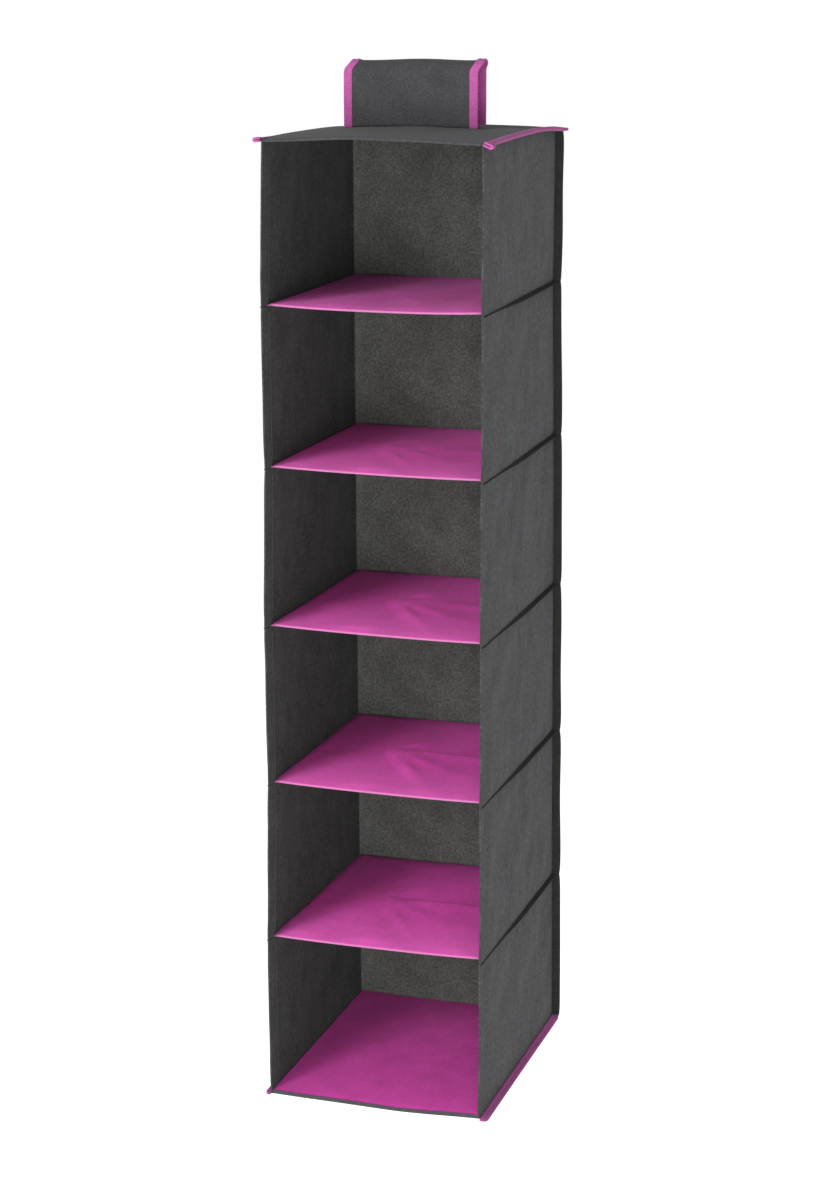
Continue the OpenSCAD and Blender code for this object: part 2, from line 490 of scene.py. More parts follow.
def thread(name, colour):
    """Sewing thread: two plies twisted together."""
    m = Nodes(name)
    place = m.add("ShaderNodeTexCoord").outputs["Object"]
    ply = m.add("ShaderNodeTexWave", {"Vector": place, "Scale": 900, "Distortion": 1.5})
    m.give("Base Color", m.mix(ply.outputs[1], scaled(colour, 0.75), scaled(colour, 1.2)))
    m.give("Roughness", 0.6)
    return m.material


def pressed_board(name):
    """Grey-brown board of pressed paper."""
    m = Nodes(name)
    place = m.add("ShaderNodeTexCoord").outputs["Object"]
    pulp = m.noise(place, 160, 6, 0.7)
    chips = m.add("ShaderNodeTexVoronoi", {"Vector": place, "Scale": 420}).outputs[0]
    shade = m.mix(m.ramp(pulp, 0.35, 0.65), srgb(138, 122, 100), srgb(168, 150, 126))
    m.give("Base Color", m.mix(m.maths("MULTIPLY", m.ramp(chips, 0.5, 0.9), 0.4), shade, srgb(110, 96, 80)))
    m.bump(pulp, 0.3, 0.3 * MM)
    m.give("Roughness", 0.9)
    return m.material


def floor_material():
    m = Nodes("pale_floor")
    place = m.add("ShaderNodeTexCoord").outputs["Object"]
    clouds = m.noise(place, 0.8, 3, 0.5)
    m.give("Base Color", m.mix(clouds, (0.95, 0.95, 0.95, 1), (0.97, 0.97, 0.97, 1)))
    m.give("Roughness", 0.8)
    return m.material


GREY = srgb(41, 41, 43)
# painted shade: the side walls' inner face, the same fabric as GREY made darker for the shade in the
# compartments
SHADED_INSIDE = srgb(31, 34, 32)
# painted light: the back walls' inner face, the same fabric as GREY made lighter for the light that reaches
# it
LIT_OLIVE_INSIDE = srgb(60, 61, 58)
MAGENTA = srgb(175, 51, 140)
PINK = srgb(114, 50, 96)
# painted highlight: the pale colour that stands for light on a shelf's front fold
FOLD_HIGHLIGHT = srgb(110, 72, 95)

MATERIALS = {
    "grey": nonwoven("grey_nonwoven", GREY, srgb(42, 42, 44), grain=0.2, mottle=0.09, gloss=0.05),
    # the side walls carry painted shade on their inner faces, and GREY outside
    "wall": nonwoven("grey_nonwoven_walls_shaded_inside", SHADED_INSIDE, srgb(36, 38, 36), 0.42, 0.2, fine=240, outer=GREY),
    # the back walls carry painted light on their inner faces, and GREY outside
    "back": nonwoven("grey_nonwoven_back_lit_inside", LIT_OLIVE_INSIDE, srgb(66, 67, 64), 0.3, 0.1, fine=380, outer=GREY),
    # the shelves' front folds carry a painted highlight and painted sheen
    "magenta": nonwoven("magenta_nonwoven", MAGENTA, srgb(180, 56, 145), 0.13, 0.07, rough=0.8, edge=FOLD_HIGHLIGHT),
    # painted shade: the shelves' magenta darkened to 0.8 for the shade over the bottom panel
    "liner": nonwoven("magenta_liner_painted_shade", scaled(MAGENTA, 0.8), srgb(161, 49, 129), 0.13, 0.07, rough=0.8),
    "grey_tape": nonwoven("grey_tape", srgb(30, 30, 30), srgb(33, 33, 32), 0.2, 0.08, gloss=0.02, sheen=0),
    "pink_tape": nonwoven("pink_tape", PINK, srgb(118, 55, 100), grain=0.14, mottle=0.05),
    "grey_thread": thread("grey_thread", srgb(50, 50, 52)),
    "pink_thread": thread("pink_thread", srgb(124, 60, 104)),
    "board": pressed_board("pressed_board"),
    "hook": nonwoven("nylon_hooks", srgb(30, 30, 32), srgb(34, 34, 34), grain=0.1, rough=0.6, gloss=0.4),
    "loop": nonwoven("nylon_loops", srgb(36, 36, 38), srgb(42, 42, 42), grain=0.5, rough=0.92, sheen=0.3),
}


def dress(obj, material, slot_name, *nodes):
    """Gives a piece its material, and hides the CAD nodes that it stands for. slot_name is not used."""
    obj.data.materials.append(MATERIALS[material])
    if nodes:
        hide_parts(*nodes)
    return obj


# ---- Sewing ----

def bound_edge(width, height, slot_h):
    """Section of a tape folded round an edge: across from 0 to width, open at 0."""
    r = height / 2
    inner = slot_h / 2
    side = [(0, r * 0.8), (width * 0.25, r * 0.94), (width * 0.5, r * 0.9), (width - r * 1.5, r * 0.96)]
    fold = [(width - r + r * math.sin(a), r * math.cos(a)) for a in np.linspace(0.15, math.pi - 0.15, 7)]
    under = [(x, -z) for x, z in reversed(side)]
    slot = [(0, -inner), (width - r * 1.2, -inner), (width - r * 1.2, inner), (0, inner)]
    return np.array(side + fold + under + slot)


def bound_seam(name, line, out, up, widths, heights, slot_h=0.8 * MM, start=0.4 * MM):
    """A tape folded over the edge that stands out of a seam along a line, from start outwards.

    widths and heights are each one number, or one for each point of the line.
    """
    sizes = (np.broadcast_to(size, len(line)) for size in (widths, heights))
    sections = np.stack([bound_edge(w, h, slot_h) for w, h in zip(*sizes)])
    return sweep(name, line + out * start, out, up, sections)


STITCH_PITCH = 3.2 * MM
STITCH_LENGTH = 2.3 * MM
THREAD_R = 0.28 * MM


def stitches(name, path, normals):
    """A row of short stitches lying on a surface along a line of points."""
    path = np.asarray(path, float)
    normals = unit(np.asarray(normals, float))
    along = np.concatenate([[0], np.cumsum(np.linalg.norm(np.diff(path, axis=0), axis=1))])
    points, faces = [], []
    shares = np.array([-0.5, -0.3, 0, 0.3, 0.5])
    lifts = np.array([-0.4, 0.6, 0.9, 0.6, -0.4]) * THREAD_R
    sizes = np.array([0.35, 0.9, 1, 0.9, 0.35]) * THREAD_R
    ring = np.linspace(0, 2 * math.pi, 6, endpoint=False)
    for s in np.arange(STITCH_PITCH, along[-1] - STITCH_PITCH / 2, STITCH_PITCH):
        at = s + shares * STITCH_LENGTH
        centre = np.stack([np.interp(at, along, path[:, k]) for k in range(3)], axis=1)
        n = unit(np.array([np.interp(s, along, normals[:, k]) for k in range(3)]))
        side = unit(np.cross(n, centre[-1] - centre[0]))
        base = len(points)
        for c, lift, size in zip(centre, lifts, sizes):
            points += [c + n * (lift + size * math.sin(a)) + side * size * math.cos(a) for a in ring]
        faces += tube_faces(len(shares), len(ring), base)
    return new_object(name, points, faces)


# ---- Cloth simulation of the walls ----

SIM_COLS, SIM_ROWS, SIM_FRAMES = 34, 18, 20


def simulated_offsets(width, height, seed, free_front):
    """Offsets out of its plane of a wall panel that hangs between its seams.

    The result is a grid of rows from the foot up and columns from the front or left edge.
    """
    uu, vv = np.meshgrid(np.linspace(0, 1, SIM_COLS), np.linspace(0, 1, SIM_ROWS))
    bow = np.sin(math.pi * vv) * (1 if free_front else np.sin(math.pi * uu))
    noise = soft_noise(seed, terms=8, low=1.5, high=6)(uu, vv)
    start = (0.5 * noise + 0.4) * bow * MM
    flat = points_at(uu * width, start, vv * height).reshape(-1, 3)
    mesh = bpy.data.meshes.new("panel")
    mesh.from_pydata(flat.tolist(), [], grid_faces(SIM_ROWS, SIM_COLS))
    panel = placed("panel", mesh)
    held = (vv == 0) | (vv == 1) | (uu == 1) | ((uu == 0) & (not free_front))
    group = panel.vertex_groups.new(name="held")
    group.add([int(i) for i in np.flatnonzero(held.ravel())], 1, "REPLACE")
    cloth_settings(panel.modifiers.new("cloth", "CLOTH"))
    for number in range(1, SIM_FRAMES + 1):
        scene.frame_set(number)
    shaped = panel.evaluated_get(bpy.context.evaluated_depsgraph_get()).to_mesh()
    found = np.zeros(len(shaped.vertices) * 3, np.float32)
    shaped.vertices.foreach_get("co", found)
    bpy.data.objects.remove(panel)
    scene.frame_set(1)
    return np.clip(found.reshape(SIM_ROWS, SIM_COLS, 3)[..., 1], -2.5 * MM, 3 * MM)


def cloth_settings(modifier):
    """Thin, stiff spun-bonded fabric that is a little longer than the gap between its seams."""
    settings = modifier.settings
    settings.quality = 6
    settings.mass = 0.02
    settings.tension_stiffness = 25
    settings.compression_stiffness = 25
    settings.shear_stiffness = 12
    settings.bending_stiffness = 1.5
    settings.air_damping = 4
    settings.vertex_group_mass = "held"
    settings.shrink_min = -0.0012
    settings.effector_weights.gravity = 0.2
    modifier.collision_settings.use_self_collision = False
    modifier.point_cache.frame_start = 1
    modifier.point_cache.frame_end = SIM_FRAMES


def sampled(field, u, v):
    """A grid of values read at shares u across and v up, both from 0 to 1."""
    rows, cols = field.shape
    x = np.clip(u, 0, 1) * (cols - 1)
    y = np.clip(v, 0, 1) * (rows - 1)
    x0 = np.minimum(x.astype(int), cols - 2)
    y0 = np.minimum(y.astype(int), rows - 2)
    fx, fy = x - x0, y - y0
    low = field[y0, x0] * (1 - fx) + field[y0, x0 + 1] * fx
    high = field[y0 + 1, x0] * (1 - fx) + field[y0 + 1, x0 + 1] * fx
    return low * (1 - fy) + high * fy


# ---- Walls ----

WALL_ROWS = 41
BACK_CREASES = (0, 1, 1, 1, 0, 0)   # how strong the crease across each back wall is
ALLOWANCE_END = SEAM_X - 1.6 * MM   # where the walls' rear seam allowances end, inside their tape
ALLOWANCE_Y = 0.45 * MM             # how far each allowance lies from the middle of that tape


def wall_height(k, v, x, y):
    """Heights of points at share v of compartment k's walls, over this place."""
    foot = BOTTOM + 1 * MM if k == TIERS else level(k) - 0.4 * MM
    head = TOP - 0.9 * MM + top_rise(x, y) if k == 1 else level(k - 1) - 0.7 * MM
    return foot + (head - foot) * v


def pucker(v):
    """Share of a wall's fullness at height v: its two seams draw it in."""
    return (1 - np.exp(-v / 0.05)) * (1 - np.exp(-(1 - v) / 0.05))


def wall_rows(count):
    """Shares of a wall's height, closer together at its two seams."""
    v = np.linspace(0, 1, count)
    return v - 0.09 * np.sin(2 * math.pi * v)


def flare(k, v):
    """How far a wall's lower edge turns out, except at the bottom panel."""
    return 0.5 * MM * (v == 0) if k < TIERS else 0


def side_wall(k, side):
    """One side wall: its front hem folded inwards, and its rear edge turned out into the seam."""
    name = f"{SIDES[side]}_wall_{k}"
    outer = HALF_W - FABRIC_T / 2
    inner = outer - 1.2 * MM
    rear = CORNER_Y - ALLOWANCE_Y
    corners = [(inner, FRONT + HEM), (inner, FRONT), (outer, FRONT), (outer, rear), (ALLOWANCE_END, rear)]
    plan = rounded_path(corners, 0.6 * MM, 5 * MM)
    x, v = np.meshgrid(plan[:, 0], wall_rows(WALL_ROWS))
    y = np.broadcast_to(plan[:, 1], x.shape)
    u = depth_share(y)
    folds = soft_noise(20 + 2 * k + side, low=5, high=16)(u, 0.4 + 0.2 * v)
    field = simulated_offsets(DEPTH, PITCH, 100 + 10 * k + side, free_front=True)
    full = sampled(field, u, v) + (0.35 * folds + 0.8) * pucker(v) * MM
    full = full * (0.25 + 0.75 * smoothstep(0, 0.12, u)) * (1 - smoothstep(0.94, 1, u))
    x = side * (x + full + flare(k, v))
    grid = points_at(x, y, wall_height(k, v, side * HALF_W, y))
    wall = cloth(f"{name}_fabric", grid, outer=side)
    finish_wall(wall, "wall", k, name, side_ends(side))
    hem_stitches(k, side, inner, name)


def hem_stitches(k, side, inner, name):
    """The row of stitches that holds a side wall's front hem, seen on the inside."""
    v = np.linspace(0.03, 0.97, 30)
    y = FRONT + HEM - 2.5 * MM
    x = side * (inner - FABRIC_T / 2 - 0.1 * MM)
    line = points_at(x, y, wall_height(k, v, side * HALF_W, y))
    row = stitches(f"{name}_stitches", line, same_way(-side, 0, 0, v))
    dress(row, "grey_thread", "grey_fabric")
    hang(row, k, side_ends(side))


def back_wall(k):
    """The back wall, with the crease that its folding in storage left across it."""
    sides = np.linspace(HALF_W, ALLOWANCE_END, 3)
    plan = np.concatenate([-sides[::-1], np.linspace(-HALF_W, HALF_W, 46)[1:-1], sides])
    x, v = np.meshgrid(plan, wall_rows(WALL_ROWS))
    u = x / (2 * HALF_W) + 0.5
    field = simulated_offsets(2 * HALF_W, PITCH, 300 + k, free_front=False)
    crease = 1.8 * MM * BACK_CREASES[k - 1] * np.exp(-np.abs(v - 0.68) * PITCH / (7 * MM))
    inside = smoothstep(0, 0.04, u) * (1 - smoothstep(0.96, 1, u))
    full = (sampled(field, u, v) + crease + 0.4 * MM * pucker(v)) * inside
    y = CORNER_Y + ALLOWANCE_Y + full + flare(k, v)
    grid = points_at(x, y, wall_height(k, v, x, BACK))
    wall = cloth(f"back_wall_{k}_fabric", grid, outer=-1, far=FAR_ALONG + 2 * HEM)
    finish_wall(wall, "back", k, f"back_wall_{k}", rear_ends())


def finish_wall(wall, material, k, node, ends):
    dress(wall, material, "grey_fabric", node)
    hang(wall, k, ends)


def hang(obj, k, ends, places=9):
    """obj rides on the body above compartment k, with a mesh of its own.

    ends are the two ends in X and Y of its upper and lower seams.
    """
    x, y = np.linspace(*ends, places).T
    head, foot = (slouch(points_at(x, y, wall_height(k, v, x, y))) for v in (1, 0))
    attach(obj, body_above(k))
    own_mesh(obj)


def side_ends(side):
    return (side * HALF_W, FRONT), (side * HALF_W, BACK)


def rear_ends():
    return (-HALF_W, BACK), (HALF_W, BACK)


def corner_bindings(k):
    """Tape over both rear corner seams of compartment k."""
    parts = []
    v = wall_rows(40)
    for side in SIDES:
        wave = 0.4 * MM * soft_noise(500 + 2 * k + side, high=3)(v, v * 0)
        x = side * (HALF_W - 0.4 * MM) + side * (wave + 0.4 * MM) * pucker(v)
        line = points_at(x, CORNER_Y, wall_height(k, v, x, CORNER_Y))
        out = same_way(side, 0, 0, v)
        up = same_way(0, 1, 0, v)
        narrow = np.exp(-v / 0.03) + np.exp(-(1 - v) / 0.03)
        widths = SEAM_X - HALF_W - narrow * 0.6 * MM
        parts.append(bound_seam(f"corner_{k}_{side}", line, out, up, widths, 3.3 * MM, 1.9 * MM))
        rows = line[2:-2] + out[2:-2] * 2.2 * MM
        for face in (-1, 1):
            row = rows + up[2:-2] * face * 1.56 * MM
            parts.append(stitches(f"corner_stitch_{side}_{face}", row, face * up[2:-2]))
    tape = joined(f"corner_binding_{k}_tape", parts)
    dress(tape, "grey_tape", "grey_binding", f"corner_binding_{k}")
    hang(tape, k, rear_ends(), places=2)


# ---- Shelves ----

TONGUE = 4.5 * MM
THIN_T = 0.5 * MM
THIN_BOARD_T = 0.9 * MM
SHELF_MID = 1.05 * MM
BACK_SEAM_DROOP = 62
SEWN_HALF_T = 0.27 * MM                # half a shelf's fabric, pressed thin in a seam
SHELF_CREASES = (0.3, 0.7, 1, 1, 0.6)  # how strong the creases of each shelf are


def shelf_wrinkles(k, x, y):
    """Height of the cloth above the board: a crease across the middle and what runs from it."""
    behind = y - (SHELF_FRONT + BACK) / 2 - 4 * MM
    start = (8 * math.sin(2.3 * k) - 34) * MM
    along = smoothstep(start - 8 * MM, start + 30 * MM, x)
    ridge = np.exp(-(behind / (np.where(behind < 0, 17, 3) * MM)) ** 2) * along
    rays = 0
    for slope, length, width in ((1.6, 92, 7), (0.7, 74, 11), (-1.2, 50, 10)):
        across = (behind + slope * (x - start)) / math.hypot(1, slope)
        reach = (x - start) * math.hypot(1, slope) / (length * MM)
        fade = np.exp(-3 * (reach - 0.6) ** 2) * smoothstep(-0.1, 0.4, reach)
        rays = rays + np.exp(-(across / (width * MM)) ** 2) * fade
    soft = 0.8 * soft_noise(40 + k, terms=7, high=3.5)(x / HALF_W, depth_share(y)) + 0.8
    edge = smoothstep(0, 30 * MM, INNER_X - np.abs(x)) * smoothstep(0, 20 * MM, y - SHELF_FRONT)
    edge = edge * smoothstep(0, 20 * MM, BACK - y)
    return ((2 * rays + 1.3 * ridge) * SHELF_CREASES[k - 1] + soft) * edge * MM


def seam_share(y):
    """How much of its full width a shelf's seam stands out here: least at the front."""
    t = depth_share(y)
    return (0.24 + 0.76 * smoothstep(0.03, 0.58, t)) * (1 - 0.3 * smoothstep(0.97, 1, t))


def sew_sides(k, grid, layer):
    """Takes the two outer columns of a shelf's fabric into the seam on each side."""
    y = grid[:, 0, 1]
    share = seam_share(y) * (1 - smoothstep(INNER_Y - 1 * MM, INNER_Y, y))
    reach = (0.02 + 0.7 * share)[:, None]
    for side, columns in ((-1, (0, 1)), (1, (-2, -1))):
        line, out, up = seam_lines(side, k, y)
        for column in columns:
            beyond = (np.abs(grid[0, column, 0]) - HALF_W) * reach
            grid[:, column] = line + out * beyond + up * layer * SEWN_HALF_T


def sew_back(grid):
    """Turns the first and last two rows of a shelf's fabric down into the back seam."""
    droop = math.radians(BACK_SEAM_DROOP)
    for row in (0, 1, -2, -1):
        beyond = grid[row, :, 1] - BACK
        grid[row, :, 0] *= 0.97
        grid[row, :, 1] = BACK + beyond * math.cos(droop)
        grid[row, :, 2] -= beyond * math.sin(droop)


def shelf_cover(k):
    """Fabric folded round a shelf's board. Its other three edges are drawn into the wall seams."""
    node = f"shelf_cover_{k}"
    r = (THIN_BOARD_T + THIN_T) / 2 + 0.1 * MM
    turn = np.linspace(0, math.pi, 9)
    middle = (SHELF_FRONT + BACK) / 2 + 4 * MM
    behind = BACK + np.array([0.5 * MM, TONGUE - 1 * MM])
    under = np.concatenate([behind[::-1], np.linspace(INNER_Y, SHELF_FRONT + r, 30)[:-1]])
    over = np.union1d(np.linspace(SHELF_FRONT + r, INNER_Y, 64), middle + np.linspace(-4, 4, 7) * MM)[1:]
    path = np.concatenate([under, SHELF_FRONT + r - r * np.sin(turn), over, behind])
    layer = np.concatenate([-np.ones(len(under)), -np.cos(turn), np.ones(len(over) + 2)])[:, None]
    inside = np.linspace(-INNER_X - 0.3 * MM, INNER_X + 0.3 * MM, 56)
    outside = HALF_W + np.array([1 * MM, TONGUE])
    x, y = np.meshgrid(np.concatenate([-outside[::-1], inside, outside]), path)
    pinch = np.exp(-np.maximum(INNER_X - np.abs(x), 0) / (1.6 * MM))
    pinch = np.maximum(pinch, np.exp(-np.maximum(INNER_Y - y, 0) / (2 * MM)))
    free = level(k) + SHELF_MID + layer * r + shelf_sag(k, x)
    free = free + np.maximum(layer, 0) * shelf_wrinkles(k, x, y) * (1 - pinch)
    sewn = level(k) + SEWN_HALF_T * layer - 0.3 * MM
    y = y + 1.5 * MM * pinch * np.exp(-(y - SHELF_FRONT) / (4 * MM))
    grid = points_at(x, y, free * (1 - pinch) + sewn * pinch)
    sew_sides(k, grid, layer)
    sew_back(grid)
    cover = cloth(f"{node}_fabric", grid, THIN_T)
    dress(cover, "magenta", "shelf_fabric", node)
    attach(cover, f"shelf_{k}")


def board(node, body, front, z, bend, thickness=THIN_BOARD_T):
    """A stiff board that bows a little with the panel it stiffens."""
    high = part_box(node)[1]
    half = min(high.x, INNER_X - 4 * MM)
    x, y = np.meshgrid(np.linspace(-half, half, 25), np.linspace(front, high.y - 1 * MM, 25))
    stiff = cloth(f"{node}_bent", points_at(x, y, z + bend(x, y)), thickness)
    dress(stiff, "board", "board", node)
    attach(stiff, body)


def shelf(k):
    node = f"shelf_board_{k}"
    board(node, f"shelf_{k}", SHELF_FRONT + 1.4 * MM, level(k) + SHELF_MID, lambda x, y: shelf_sag(k, x))
    shelf_cover(k)
    shelf_binding(k)


def shelf_binding(k):
    """The bound seam round a shelf: folded down at the front and standing out behind."""
    y = np.concatenate([np.linspace(1, 16, 8), np.linspace(20, DEPTH / MM - 2, 52)]) * MM + FRONT
    t = depth_share(y)
    grow = smoothstep(0, 0.5, t)
    widths = 4.6 * MM * seam_share(y)
    parts = []
    for side in SIDES:
        line, out, up = seam_lines(side, k, y)
        line = line + up * 0.3 * MM
        heights = (1 + 0.6 * grow) * MM
        parts.append(bound_seam(f"seam_{k}_{side}", line, out, up, widths, heights, start=-0.3 * MM))
        sewn = line + out * (0.8 + 1.2 * grow[:, None]) * MM + up * (0.43 + 0.32 * grow[:, None]) * MM
        parts.append(stitches(f"seam_stitch_{k}_{side}", sewn, up))
    x = np.linspace(-1, 1, 46) * (HALF_W - 0.5 * MM)
    wave = soft_noise(760 + k)(x / HALF_W, x * 0)
    line = points_at(x, BACK, level(k) - 0.3 * MM)
    out, up = drooping((0, 1, 0), BACK_SEAM_DROOP + 3 * wave)
    parts.append(bound_seam(f"seam_{k}_back", line, out, up, 6.4 * MM, 1.7 * MM, start=0))
    parts.append(stitches(f"seam_stitch_{k}_back", line + out * 2 * MM + up * 0.82 * MM, up))
    tape = joined(f"shelf_binding_{k}_tape", parts)
    dress(tape, "grey_tape", "grey_binding", f"shelf_binding_{k}")
    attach(tape, f"shelf_{k}")


# ---- Top panel ----

def panel_grid(path, rise):
    """A sheet along a path in Y and Z whose turned edges shrink away over the side seams."""
    reach = HALF_W + TURNED_OUT
    x = np.concatenate([[-reach], np.linspace(-HALF_W, HALF_W, 49), [reach]])
    x, y = np.meshgrid(x, path[:, 0])
    flat = np.median(path[:, 1])
    turned = 0.25 + 0.75 * smoothstep(0, 2 * MM, INNER_X - np.abs(x))
    z = flat + (path[:, 1:] - flat) * turned
    return points_at(x, y, z + rise(x, y))


def top_panel():
    board("top_board", "top_panel", FRONT + 1.6 * MM, TOP - 1.35 * MM, top_rise)
    top_cover()
    top_lining()
    for side in SIDES:
        top_binding(side)


def top_cover():
    """The upper fabric: turned down over the board's front and back, out into the side seams."""
    lip = TOP - 2.8 * MM
    top = TOP - FABRIC_T / 2
    front, back = FRONT + 0.4 * MM, INNER_Y - 0.6 * MM
    path = rounded_path([(front, lip), (front, top), (back, top), (back, lip)], 1 * MM, 4 * MM)
    ripple = soft_noise(11, terms=7)

    def rise(x, y):
        hem = 0.3 * MM * np.exp(-((y - FRONT - 14 * MM) / (1.2 * MM)) ** 2)
        return top_rise(x, y) + 0.3 * MM * ripple(x / HALF_W, depth_share(y)) - hem

    cover = cloth("top_cover_fabric", panel_grid(path, rise))
    dress(cover, "grey", "grey_fabric", "top_cover")
    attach(cover, "top_panel")


def top_lining():
    low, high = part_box("top_lining")
    x, y = np.meshgrid(np.linspace(low.x, high.x, 41), np.linspace(low.y + 1.5 * MM, high.y - 1 * MM, 40))
    soft = np.abs(soft_noise(12)(x / HALF_W, depth_share(y)))
    z = TOP - 2.25 * MM + top_rise(x, y) - 0.3 * MM * soft
    lining = cloth("top_lining_fabric", points_at(x, y, z), THIN_T)
    dress(lining, "grey", "grey_fabric", "top_lining")
    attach(lining, "top_panel")


def top_binding(side):
    """Magenta tape on a side seam of the top panel. Its ends stand past both corners."""
    name = f"top_binding_{SIDES[side]}"
    y = np.linspace(FRONT - 3.2 * MM, BACK + 4 * MM, 76)
    line, out, up = seam_lines(side, 0, y)
    t = (y - FRONT) / DEPTH
    start = 1 - smoothstep(0.01, 0.085 if side > 0 else 0.04, t)
    end = smoothstep(0.85, 1, t)
    widths = (5.4 + (4 if side > 0 else 1.2) * start + (6.2 if side > 0 else 1.5) * end) * MM
    heights = ((3.7 if side > 0 else 2.4) + (0.9 if side > 0 else 2) * start - 0.8 * end) * MM
    sewn_tape(name, line, out, up, widths, heights, "top_panel")


def sewn_tape(name, line, out, up, widths, heights, body):
    """A magenta tape over a seam's edge, with the stitches that hold it."""
    tape = bound_seam(f"{name}_tape", line, out, up, widths, heights)
    dress(tape, "pink_tape", "magenta_binding", name)
    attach(tape, body)
    for face, side_name in ((1, "upper"), (-1, "lower")):
        rows = line + out * 2.4 * MM + up * face * heights[:, None] * 0.46
        row = stitches(f"{name}_{side_name}_stitches", rows[2:-2], face * up[2:-2])
        dress(row, "pink_thread", "magenta_binding")
        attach(row, body)


# ---- Strap ----

STRAP_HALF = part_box("strap_binding_right")[1].x
STRAP_TAPE_W = STRAP_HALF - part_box("strap_binding_right")[0].x
STRAP_T = 1.6 * MM
STRAP_R = -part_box("strap_front")[0].y - STRAP_T / 2
FOOT_Y = -5 * MM
HEEL_R = 1.2 * MM


def strap_foot(x, y):
    """Height at which the strap's middle meets the bowed top panel."""
    return TOP + top_rise(x, y) + 0.9 * MM


def arc(start, end, count, centre, r):
    """Points in Y and Z round a centre between two angles from straight behind, and the ways out."""
    turn = np.radians(np.linspace(start, end, count))
    out = np.stack([np.cos(turn), np.sin(turn)], axis=1)
    return np.hstack([centre + r * out, out])


def strap_line():
    """The strap's middle in Y and Z, as if the panel under it were level across, and its ways out.

    It starts at the rear of the sewn foot, and goes up the front, over the rod and down behind.
    """
    front = float(strap_foot(0, -STRAP_R))
    rear = float(strap_foot(0, STRAP_R)) + HEEL_R
    foot = [(y, front, 0, -1) for y in np.arange(FOOT_Y, HEEL_R - STRAP_R, -2.5 * MM)]
    heel = arc(-90, -180, 5, (HEEL_R - STRAP_R, front + HEEL_R), HEEL_R)
    rise = [(-STRAP_R, z, -1, 0) for z in np.linspace(front + HEEL_R, 0, 18)[1:-1]]
    over = arc(180, 0, 27, (0, 0), STRAP_R)
    fall = [(STRAP_R, z, 1, 0) for z in np.linspace(0, rear, 18)[1:]]
    return np.concatenate([foot, heel, rise, over, fall])


def strap_points(line, x):
    """Points of the strap at these places across it, for each point of its line.

    Over the rod it is pushed to the right, with its edges curling up, and lies loosely.
    """
    x = np.broadcast_to(np.asarray(x, float), (len(line), np.size(x)))
    y, z, ny, nz = (line[:, i:i + 1] for i in range(4))
    share = x / STRAP_HALF
    below = np.where(z < 0, -z, 0) / -line[0, 1]
    foot = strap_foot(x, y) - strap_foot(0 * x, y)
    crest = smoothstep(-8 * MM, 13 * MM, z)
    ripple = (1.5 + 0.4 * share + 0.7 * np.cos(math.pi * 1.25 * (share - 0.05))) * crest
    ear = (1.2 + 0.8 * share) * np.abs(share) ** 10 * smoothstep(4 * MM, 13 * MM, z)
    soft = soft_noise(21, terms=5, high=2.5)(share, z / (60 * MM))
    belly = 0.25 * (1 + soft) * np.sin(math.pi * below)
    off = (ripple + ear + np.maximum(belly, 0)) * MM * np.where(nz < -0.01, 0, 1)
    behind = 1.2 * MM * smoothstep(-STRAP_R, 0, y)
    pushed = behind + (4.6 * MM - behind) * smoothstep(0.38 * STRAP_R, STRAP_R, z)
    return points_at(x + pushed, y + ny * off, z + nz * off + foot * below)


def strap():
    """The whole strap, front and flap, as one piece of stiffened fabric."""
    line = strap_line()
    x = np.linspace(-1, 1, 43) * (STRAP_HALF - 1 * MM)
    piece = cloth("strap_fabric", strap_points(line, x), STRAP_T)
    dress(piece, "grey", "grey_fabric", "strap_front", "strap_flap")
    bend(piece)
    for side in SIDES:
        strap_binding(side, line[line[:, 3] > -0.8])
    strap_seam()


def bend(piece):
    """Bakes the piece's placement into its mesh."""
    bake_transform(piece)


def strap_binding(side, line):
    name = SIDES[side]
    middle = strap_points(line, side * (STRAP_HALF - STRAP_TAPE_W / 2))[:, 0]
    middle[:, 0] -= side * (STRAP_TAPE_W / 2 + 0.4 * MM)
    out = same_way(side, 0, 0, line)
    up = points_at(0, line[:, 2], line[:, 3])
    height = STRAP_T + 2 * TAPE_T
    inside = STRAP_T - 0.1 * MM
    tape = bound_seam(f"strap_binding_{name}_tape", middle, out, up, STRAP_TAPE_W, height, inside)
    dress(tape, "pink_tape", "magenta_binding", f"strap_binding_{name}", f"flap_binding_{name}")
    bend(tape)
    for face, where in ((1, "outer"), (-1, "inner")):
        row = middle + up * face * (STRAP_T / 2 + TAPE_T * 0.9) + out * 2.2 * MM
        sewn = stitches(f"strap_binding_{name}_{where}_stitches", row, face * up)
        dress(sewn, "pink_thread", "magenta_binding")
        bend(sewn)


def strap_seam():
    """The row of stitches through the strap's foot, which holds it on the top panel."""
    x = np.linspace(-1, 1, 40) * (STRAP_HALF - STRAP_TAPE_W - 2 * MM)
    y = -STRAP_R + 3.5 * MM
    row = points_at(x, y, strap_foot(x, y) + STRAP_T / 2)
    sewn = stitches("strap_foot_stitches", row, same_way(0, 0, 1, x))
    dress(sewn, "grey_thread", "grey_fabric")
    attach(sewn, "top_panel")


def strap_tab():
    """The tab behind the rod that the flap closes on."""
    low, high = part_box("strap_tab")
    y = high.y - 0.9 * MM
    foot = float(strap_foot(0, y))
    path = rounded_path([(low.y, foot), (y, foot), (y, high.z)], 2 * MM, 3 * MM)
    x, yy = np.meshgrid(np.linspace(low.x, high.x, 31), path[:, 0])
    z = np.broadcast_to(path[:, 1:], x.shape)
    z = z + (strap_foot(x, y) - foot) * (high.z - z) / (high.z - foot)
    tab = cloth("strap_tab_fabric", points_at(x, yy, z), STRAP_T)
    dress(tab, "grey", "grey_fabric", "strap_tab")
    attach(tab, "top_panel")


